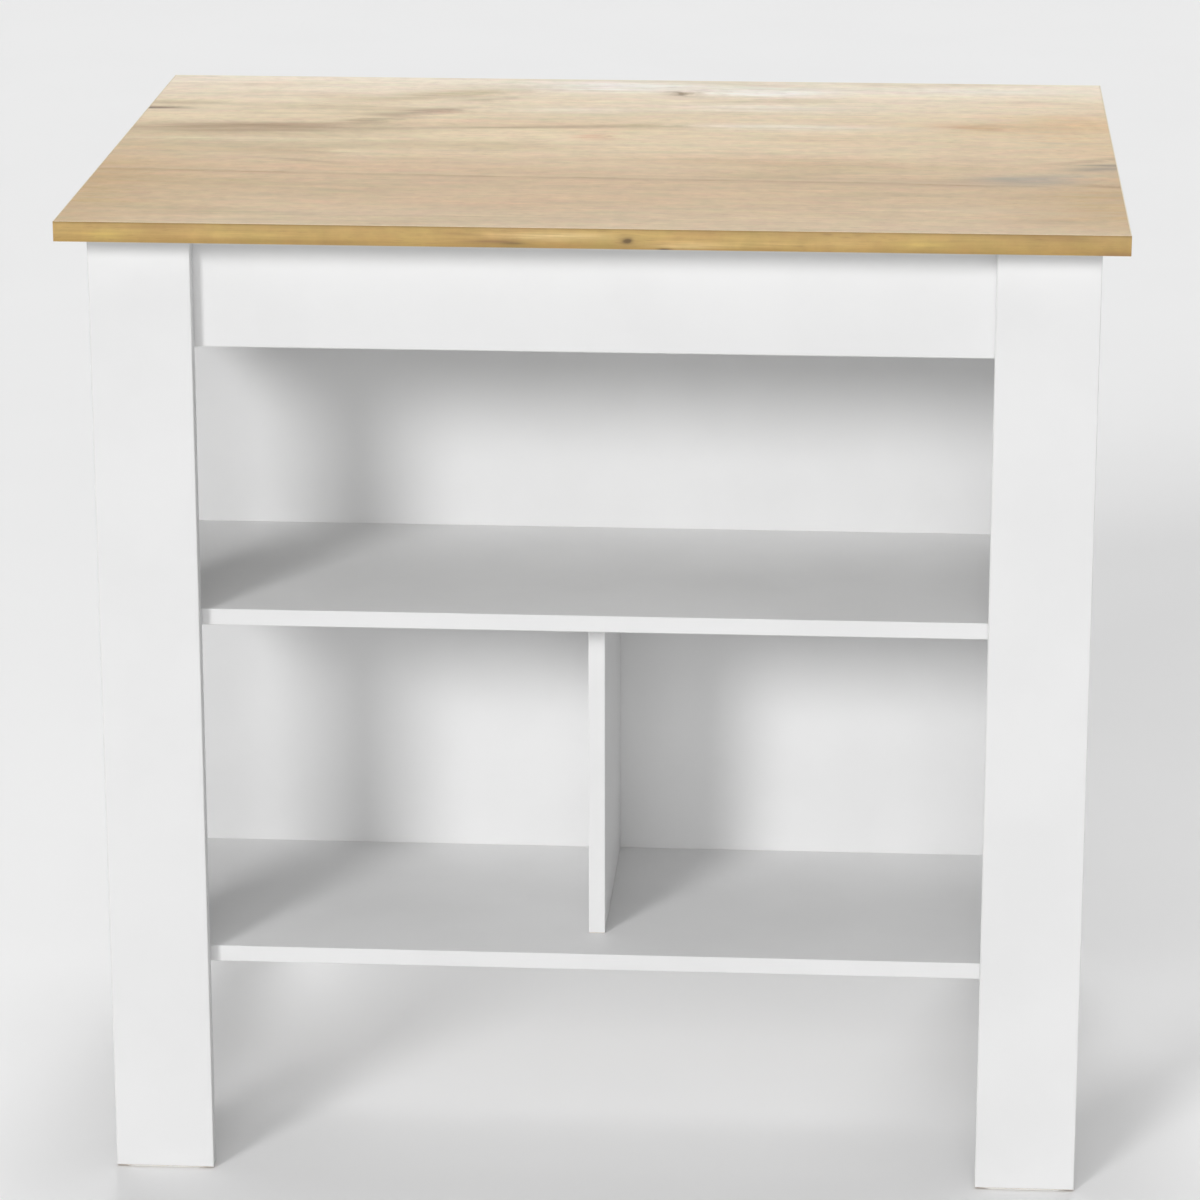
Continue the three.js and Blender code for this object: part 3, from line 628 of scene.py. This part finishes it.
class Decor:
    """Printed oak, built up layer by layer. X of `place` runs along the grain and Y across."""

    def __init__(self, tree, place, base, knots, fray):
        self.tree = tree
        self.colour = base
        self.knots = knots
        grain = tree.tree.nodes.new("ShaderNodeGroup")
        grain.node_tree = GRAIN
        tree.put(self.bent_round_knots(place), grain.inputs["Place"])
        self.fibre, self.mottle, self.streak, self.figure = grain.outputs[:4]
        self.patch, self.blush, self.pore = grain.outputs[4:]
        both = tree.math("MULTIPLY", tree.math("ADD", self.streak, self.fibre), 0.5)
        self.threads = tree.math("MULTIPLY_ADD", tree.ease(both, THREAD_LOW, THREAD_HIGH),
                                 THREAD_GAIN, THREAD_LEAST)
        pull = tree.math("MULTIPLY", tree.math("SUBTRACT", self.streak, 0.5), fray)
        pull = tree.math("MULTIPLY_ADD", tree.math("SUBTRACT", self.mottle, 0.5),
                         MOTTLE_FRAY_SHARE * fray, pull)
        across = tree.math("MULTIPLY", pull, ACROSS_FRAY_SHARE)
        frayed = tree.vector("ADD", place, tree.join(pull, across, 0.0))
        self.place = tree.vector("MULTIPLY", frayed, (1, 1, 0))
        self.depth = tree.math("MULTIPLY", self.pore, PORE_RELIEF)

    def bent_round_knots(self, place):
        """Grain runs round a knot, so nearby places are drawn towards its middle line."""
        tree = self.tree
        for knot in self.knots:
            centre = (knot.along, knot.across, 0)
            near = soft_spot(tree, place, centre, self.knot_size(knot, KNOT_BEND))
            pull = tree.vector("MULTIPLY", tree.vector("SUBTRACT", place, centre),
                               (0, -KNOT_BEND_SHARE, 0))
            place = tree.vector("MULTIPLY_ADD", pull, tree.join(near, near, near), place)
        return place

    def knot_size(self, knot, times):
        return (knot.length * times[0], knot.width * times[1], 1)

    def tint(self, share, colour):
        self.colour = self.tree.mix(share, self.colour, colour)

    def add_patches(self, amount):
        tree = self.tree
        self.tint(tree.math("MULTIPLY", tree.ease(self.patch, 0.50, 0.70), amount), OAK_PEACH)
        self.tint(tree.math("MULTIPLY", tree.ease(self.patch, 0.46, 0.30), amount), OAK_OLIVE)

    def add_marks(self, marks):
        tree = self.tree
        for mark in marks:
            spot = soft_spot(tree, self.place, (mark.along, mark.across, 0),
                             (mark.length, mark.width, 1), mark.turn)
            share = tree.math("MULTIPLY", spot, MARK_GAIN * mark.strength)
            share = tree.math("MINIMUM", share, mark.strength)
            self.tint(tree.math("MULTIPLY", share, self.threads), mark.colour)

    def add_grain(self, amount):
        tree = self.tree
        lightness = 1.0
        for layer, share in ((self.streak, STREAK_SHARE), (self.mottle, MOTTLE_SHARE),
                             (self.fibre, FIBRE_SHARE), (self.figure, FIGURE_SHARE)):
            lightness = tree.math("MULTIPLY_ADD", tree.math("SUBTRACT", layer, 0.5),
                                  share * amount, lightness)
        redness = tree.math("MULTIPLY", tree.math("SUBTRACT", self.blush, 0.5),
                            BLUSH_SHARE * amount)
        self.colour = tree.vector("MULTIPLY", self.colour,
                                  tree.join(tree.math("ADD", lightness, redness),
                                            tree.math("SUBTRACT", lightness, redness),
                                            tree.math("MULTIPLY_ADD", redness, 0.5, lightness)))
        self.tint(tree.math("MULTIPLY", self.pore, PORE_SHARE), OAK_BROWN)

    def add_cracks(self, cracks):
        """Each crack is a broken brown thread in a painted soft shadow, with a pale lip beside it
        that is a painted highlight.
        """
        tree = self.tree
        along, across, _ = tree.split(self.place)
        for crack in cracks:
            wander = tree.noise(tree.join(tree.math("MULTIPLY", along, CRACK_BENDS),
                                          crack.across, 0.0), 3.0)
            line = tree.math("MULTIPLY_ADD", along, crack.slope, crack.across)
            line = tree.math("MULTIPLY_ADD", tree.math("SUBTRACT", wander, 0.5), CRACK_WANDER,
                             line)
            off = tree.math("SUBTRACT", across, line)
            aside = tree.math("ABSOLUTE", off)
            fade = tree.noise(tree.join(tree.math("MULTIPLY", along, CRACK_BREAKS),
                                        crack.across, 4.0), 2.0)
            begun = tree.ease(along, crack.start, crack.start + CRACK_START_TAPER)
            within = tree.math("MULTIPLY", begun,
                               tree.ease(along, crack.end, crack.end - CRACK_END_TAPER))
            # Painted highlight: a pale lip to one side of the crack.
            lip_highlight = tree.math("ABSOLUTE",
                            tree.math("SUBTRACT", off, CRACK_HIGHLIGHT_MIDDLE * crack.width))
            lip_highlight = tree.math("MULTIPLY", tree.ease(lip_highlight, CRACK_HIGHLIGHT_HALF * crack.width, 0.0), within)
            self.tint(tree.math("MULTIPLY", lip_highlight, CRACK_HIGHLIGHT_SHARE * crack.strength), OAK_PALE)
            thread = tree.ease(aside, crack.width, CRACK_THREAD_HEART * crack.width)
            thread = tree.math("MULTIPLY", thread, tree.ease(fade, 0.35, 0.65))
            shadow = tree.ease(aside, CRACK_SHADOW_RIM * crack.width, 0.0)
            shadow = tree.math("MULTIPLY", shadow, CRACK_SHADOW_SHARE)
            dark = tree.math("MULTIPLY", tree.math("MAXIMUM", thread, shadow), within)
            self.tint(tree.math("MULTIPLY", dark, crack.strength), OAK_BROWN)
            self.depth = tree.math("MAXIMUM", self.depth, tree.math("MULTIPLY", thread, within))

    def add_knots(self):
        tree = self.tree
        for knot in self.knots:
            centre = (knot.along, knot.across, 0)
            halo = soft_spot(tree, self.place, centre, self.knot_size(knot, KNOT_HALO))
            heart = soft_spot(tree, self.place, centre, self.knot_size(knot, KNOT_HEART),
                              KNOT_HEART_TURN)
            self.tint(tree.math("MULTIPLY", halo, KNOT_HALO_SHARE * knot.strength), OAK_BROWN)
            dark = tree.math("MULTIPLY", heart, KNOT_HEART_GAIN, clamp=True)
            self.tint(tree.math("MULTIPLY", dark, knot.strength), OAK_DARK)
            self.depth = tree.math("MAXIMUM", self.depth, heart)

    def finish(self, shader, relief_height):
        tree = self.tree
        roughness = tree.math("MULTIPLY_ADD", self.fibre, FIBRE_ROUGHNESS, OAK_ROUGHNESS)
        roughness = tree.math("MULTIPLY_ADD", self.depth, DEPTH_ROUGHNESS, roughness)
        relief = tree.math("SUBTRACT", tree.math("MULTIPLY", self.fibre, FIBRE_RELIEF), self.depth)
        tree.put(self.colour, shader.inputs["Base Color"])
        tree.put(roughness, shader.inputs["Roughness"])
        tree.put(tree.bump(relief, relief_height), shader.inputs["Normal"])


# The tones along the worktop's depth waver by this share of it, with bends to a metre along
# X and Y.
TONE_WAVER = 0.12
TONE_BENDS = (2.2, 5, 0)
BACKING = rgb(236, 235, 232)
BACKING_FLECK = rgb(231, 230, 227)
BACKING_FLECK_COUNT = 700


def dress_worktop():
    """The decor runs along X. The underside has a plain off-white backing foil."""
    made, tree, shader = material("oak_laminate", IOR=1.5)
    x, y, z = tree.split(tree.place())
    place = tree.join(x, y, 0.0)
    low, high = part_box("worktop_board")
    depth = tree.node("MapRange", {"Value": y, "From Min": low.y, "From Max": high.y}).outputs[0]
    waver = tree.noise(tree.vector("MULTIPLY", place, TONE_BENDS), 3.0)
    depth = tree.math("ADD", depth, tree.math("MULTIPLY_ADD", waver, TONE_WAVER, -TONE_WAVER / 2))
    decor = Decor(tree, place, tree.ramp(depth, DEPTH_TONES), TOP_KNOTS, TOP_FRAY)
    decor.add_patches(0.40)
    decor.add_marks(TOP_MARKS)
    decor.add_grain(1.0)
    decor.add_cracks(TOP_CRACKS)
    decor.add_knots()
    backing = tree.math("LESS_THAN", z, (low.z + high.z) / 2)
    fleck = tree.noise_per_metre(BACKING_FLECK_COUNT)
    decor.tint(backing, tree.mix(tree.ease(fleck, 0.4, 0.7), BACKING, BACKING_FLECK))
    decor.finish(shader, TOP_RELIEF)
    finish_node("worktop_board", made)


# Tones of an edge band from its lower edge, 0, to its upper edge, 1.
BAND_TONES = [(0.0, rgb(168, 136, 78)), (0.5, rgb(190, 160, 102)), (0.86, rgb(190, 160, 102)),
              (1.0, rgb(138, 110, 66))]
# Trimmed edges of a band: its paler core colour, made lighter still as a painted highlight.
BAND_TRIM_AND_HIGHLIGHT = rgb(240, 228, 204)
BAND_TRIM_HIGHLIGHT_HEIGHT = 0.15 * MM
# The side bands take their grain this far along from the front band's.
SIDE_BAND_SHIFT = 5


def dress_band(name, along_x, marks=(), knots=()):
    """Edge band: a printed face, with the paler trimmed edge of the band above and below,
    its core colour made lighter still as a painted highlight.
    """
    made, tree, shader = material("oak_band_" + name, IOR=1.5)
    x, y, z = tree.split(tree.place())
    low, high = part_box(name)
    along = x if along_x else tree.math("ADD", y, SIDE_BAND_SHIFT)
    level = tree.node("MapRange", {"Value": z, "From Min": low.z, "From Max": high.z}).outputs[0]
    decor = Decor(tree, tree.join(along, z, 0.0), tree.ramp(level, BAND_TONES), knots, BAND_FRAY)
    decor.add_patches(0.22)
    decor.add_marks(marks)
    decor.add_grain(0.9)
    decor.add_knots()
    # Painted highlight: the trimmed edges above and below take the core's colour, lightened.
    from_middle = tree.math("ABSOLUTE", tree.math("SUBTRACT", level, 0.5))
    trim_and_highlight = tree.math("GREATER_THAN", from_middle, 0.5 - BAND_TRIM_HIGHLIGHT_HEIGHT / (high.z - low.z))
    decor.tint(trim_and_highlight, BAND_TRIM_AND_HIGHLIGHT)
    decor.finish(shader, BAND_RELIEF)
    finish_node(name, made)


# ------------------------------------------------------------------ plastic, metal, beech

def plastic_material():
    """White moulded plastic with a faint flow in it."""
    made, tree, shader = material("white_plastic", IOR=1.49)
    flow = tree.noise_per_metre((60, 60, 140), 3.0)
    spark = tree.noise_per_metre(1800, 1.0)
    shade = tree.mix(tree.ease(flow, 0.3, 0.7), rgb(232, 232, 229), rgb(224, 225, 223))
    tree.put(shade, shader.inputs["Base Color"])
    tree.put(tree.math("MULTIPLY_ADD", flow, 0.2, 0.32), shader.inputs["Roughness"])
    tree.put(tree.bump(spark, 0.03 * MM), shader.inputs["Normal"])
    return made


def zinc_material():
    """Die-cast zinc: dull, mottled, with a fine cast grain."""
    made, tree, shader = material("zinc_cast", Metallic=1.0)
    mottle = tree.noise_per_metre(420, 4.0, 0.6)
    grain = tree.noise_per_metre(3200, 1.0)
    shade = tree.mix(tree.ease(mottle, 0.3, 0.7), rgb(150, 153, 156), rgb(192, 194, 196))
    tree.put(shade, shader.inputs["Base Color"])
    tree.put(tree.math("MULTIPLY_ADD", mottle, 0.3, 0.3), shader.inputs["Roughness"])
    tree.put(tree.bump(grain, 0.04 * MM), shader.inputs["Normal"])
    return made


def steel_material():
    """Bright zinc plating with a faint blue and yellow cast."""
    made, tree, shader = material("steel", Metallic=1.0)
    cast = tree.noise_per_metre(110)
    rub = tree.noise_per_metre((300, 2400, 2400))
    shade = tree.mix(tree.ease(cast, 0.35, 0.65), rgb(197, 202, 208), rgb(207, 205, 199))
    tree.put(shade, shader.inputs["Base Color"])
    tree.put(tree.math("MULTIPLY_ADD", rub, 0.14, 0.24), shader.inputs["Roughness"])
    tree.put(tree.bump(rub, 0.005 * MM), shader.inputs["Normal"])
    return made


def beech_material():
    """Turned beech: pale, with short reddish flecks along the dowel."""
    made, tree, shader = material("beech", IOR=1.45)
    fibre = tree.noise_per_metre((900, 900, 60), 3.0, 0.6)
    fleck = tree.noise_per_metre((1500, 1500, 320), 1.0)
    shade = tree.mix(tree.ease(fibre, 0.3, 0.7), rgb(222, 190, 146), rgb(206, 168, 122))
    shade = tree.mix(tree.ease(fleck, 0.66, 0.74), shade, rgb(164, 116, 78))
    tree.put(shade, shader.inputs["Base Color"])
    tree.put(tree.math("MULTIPLY_ADD", fibre, 0.15, 0.6), shader.inputs["Roughness"])
    tree.put(tree.bump(fibre, 0.05 * MM), shader.inputs["Normal"])
    return made


# ------------------------------------------------------------------ short screws

SCREW_HEAD_RADIUS = 3.6 * MM
SCREW_HEAD_HEIGHT = 2.2 * MM
SCREW_SHANK_RADIUS = 1.7 * MM
SCREW_SHANK_LENGTH = 11 * MM
SCREW_TIP_LENGTH = 2 * MM
# The shank is ridged: crests at its radius, with grooves between them.
SCREW_RIDGES = 9
SCREW_GROOVE_RADIUS = 0.68 * SCREW_SHANK_RADIUS
# How far the head's rim reaches into what it stands on, so that no gap shows.
SEAT_DEPTH = 0.05 * MM
RECESS_ARM = 2.1 * MM
RECESS_WIDTH = 0.50 * MM
RECESS_SLOPE = 0.20 * MM
RECESS_DEPTH = 1.6 * MM
# An arm's end rises this much more steeply than a slope over the whole arm would.
RECESS_STEEPNESS = 2.2
SCREW_STEPS = 64
HEAD_RINGS = 20
SHARP_EDGE = math.radians(35)


def head_height(x, y):
    """Height of a pan head above its seat, with a cross recess in the middle."""
    out = min(1.0, math.hypot(x, y) / SCREW_HEAD_RADIUS)
    crown = SCREW_HEAD_HEIGHT * (1 - out ** 4) ** 0.5
    near, far = sorted((abs(x), abs(y)))
    across = min(1.0, max(0.0, (RECESS_WIDTH + RECESS_SLOPE - near) / RECESS_SLOPE))
    along = min(1.0, max(0.0, (RECESS_ARM - far) / RECESS_ARM * RECESS_STEEPNESS))
    return crown - RECESS_DEPTH * across * along


def screw_mesh():
    """A pan-head screw along +Z, with its seat at z = 0 and its shank below."""
    mesh = bmesh.new()
    loops = []

    def add_loop(radius, level=None):
        """Corners round the axis at this level, or on top of the head where none is given."""
        loop = []
        for step in range(SCREW_STEPS):
            angle = 2 * math.pi * step / SCREW_STEPS
            x, y = radius * math.cos(angle), radius * math.sin(angle)
            height = head_height(x, y) if level is None else level
            loop.append(mesh.verts.new((x, y, height)))
        loops.append(loop)

    crown = mesh.verts.new((0, 0, head_height(0, 0)))
    for ring in range(1, HEAD_RINGS + 1):
        add_loop(SCREW_HEAD_RADIUS * math.sin(math.pi / 2 * ring / HEAD_RINGS))
    add_loop(SCREW_HEAD_RADIUS, -SEAT_DEPTH)
    add_loop(SCREW_SHANK_RADIUS, -SEAT_DEPTH)
    for half in range(1, 2 * SCREW_RIDGES + 1):
        radius = SCREW_SHANK_RADIUS if half % 2 else SCREW_GROOVE_RADIUS
        add_loop(radius, -SCREW_SHANK_LENGTH * half / (2 * SCREW_RIDGES))
    tip = mesh.verts.new((0, 0, -SCREW_SHANK_LENGTH - SCREW_TIP_LENGTH))
    for step in range(SCREW_STEPS):
        after = (step + 1) % SCREW_STEPS
        mesh.faces.new((crown, loops[0][step], loops[0][after]))
        for inner, outer in zip(loops, loops[1:]):
            mesh.faces.new((inner[step], outer[step], outer[after], inner[after]))
        mesh.faces.new((tip, loops[-1][after], loops[-1][step]))
    made = bpy.data.meshes.new("short_screw")
    mesh.to_mesh(made)
    mesh.free()
    made.shade_smooth()
    made.set_sharp_from_angle(angle=SHARP_EDGE)
    return made


def add_screw(name, mesh, seat, out, turn):
    """A screw whose head stands on `seat` and faces `out`."""
    screw = bpy.data.objects.new(name, mesh)
    facing = Vector(out).to_track_quat("Z", "Y").to_matrix().to_4x4()
    screw.matrix_world = Matrix.Translation(seat) @ facing @ Matrix.Rotation(turn, 4, "Z")
    bpy.context.scene.collection.objects.link(screw)
    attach(screw, "root")


# Where the holes are: from a corner block's corner, and from a bracket's corner.
BLOCK_WALL = 4 * MM
BLOCK_SIDE_HOLE = 18.9 * MM
BLOCK_SIDE_LEVEL = 17 * MM
BLOCK_TOP_HOLE = 14 * MM
BRACKET_SHEET = 1.6 * MM
BRACKET_HOLE = 15.5 * MM
# Radians that each screw's recess is turned further than the last one's, in the blocks, and
# further than the last of those in both brackets.
BLOCK_TURN = 0.7
BRACKET_TURNS = (0.4, 1.1)


def add_short_screws(steel):
    """Three screws in each corner block and two in each bracket."""
    mesh = screw_mesh()
    mesh.materials.append(steel)
    turn = 0.0
    for end, inward in (("front", 1), ("back", -1)):
        for side, sign in (("left", -1), ("right", 1)):
            low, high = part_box(f"corner_block_{end}_{side}")
            corner = Vector((high.x if sign > 0 else low.x, low.y if inward > 0 else high.y,
                             high.z))
            seats = [
                ("a", (-sign * BLOCK_SIDE_HOLE, inward * BLOCK_WALL, -BLOCK_SIDE_LEVEL),
                 (0, inward, 0)),
                ("b", (-sign * BLOCK_WALL, inward * BLOCK_SIDE_HOLE, -BLOCK_SIDE_LEVEL),
                 (-sign, 0, 0)),
                ("c", (-sign * BLOCK_TOP_HOLE, inward * BLOCK_TOP_HOLE, -BLOCK_WALL),
                 (0, 0, -1)),
            ]
            for letter, offset, out in seats:
                turn += BLOCK_TURN
                add_screw(f"block_screw_{end}_{side}_{letter}", mesh, corner + Vector(offset),
                          out, turn)
    for side in ("left", "right"):
        low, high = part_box(f"panel_bracket_{side}")
        middle = (low.x + high.x) / 2
        upright = Vector((middle, high.y - BRACKET_SHEET, high.z - BRACKET_HOLE))
        level = Vector((middle, high.y - BRACKET_HOLE, high.z - BRACKET_SHEET))
        add_screw(f"bracket_screw_{side}_a", mesh, upright, (0, -1, 0), turn + BRACKET_TURNS[0])
        add_screw(f"bracket_screw_{side}_b", mesh, level, (0, 0, -1), turn + BRACKET_TURNS[1])


# ------------------------------------------------------------------ dress every node

def dress_boards():
    zones = board_group()
    for end in ("front", "back"):
        for side in ("left", "right"):
            dress_board(f"leg_{end}_{side}", zones, "-z +z")
        dress_board(f"apron_{end}", zones, "+z -x +x")
    for side in ("left", "right"):
        dress_board(f"apron_{side}", zones, "+z -y +y")
        dress_board(f"side_rail_{side}", zones, "-y +y")
    dress_board("shelf_middle", zones, "+y")
    dress_board("shelf_lower", zones, "+y -x +x")
    dress_board("divider", zones, "+y -z +z")
    dress_board("back_panel", zones, "-z +z")


def dress_fittings(steel):
    plastic = plastic_material()
    finishes = [("glide_", plastic), ("corner_block_", plastic), ("cam_lock_", zinc_material()),
                ("cam_bolt_", steel), ("panel_screw_", steel), ("panel_bracket_", steel),
                ("divider_dowel_", beech_material())]
    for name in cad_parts:
        for start, made in finishes:
            if name.startswith(start):
                finish_node(name, made)


add_camera()
add_world()
add_suns()
add_floor()
dress_worktop()
dress_band("worktop_band_front", True, FRONT_MARKS, FRONT_KNOTS)
dress_band("worktop_band_back", True)
dress_band("worktop_band_left", False)
dress_band("worktop_band_right", False)
dress_boards()
steel = steel_material()
dress_fittings(steel)
add_short_screws(steel)

bpy.context.scene.view_settings.view_transform = "Standard"
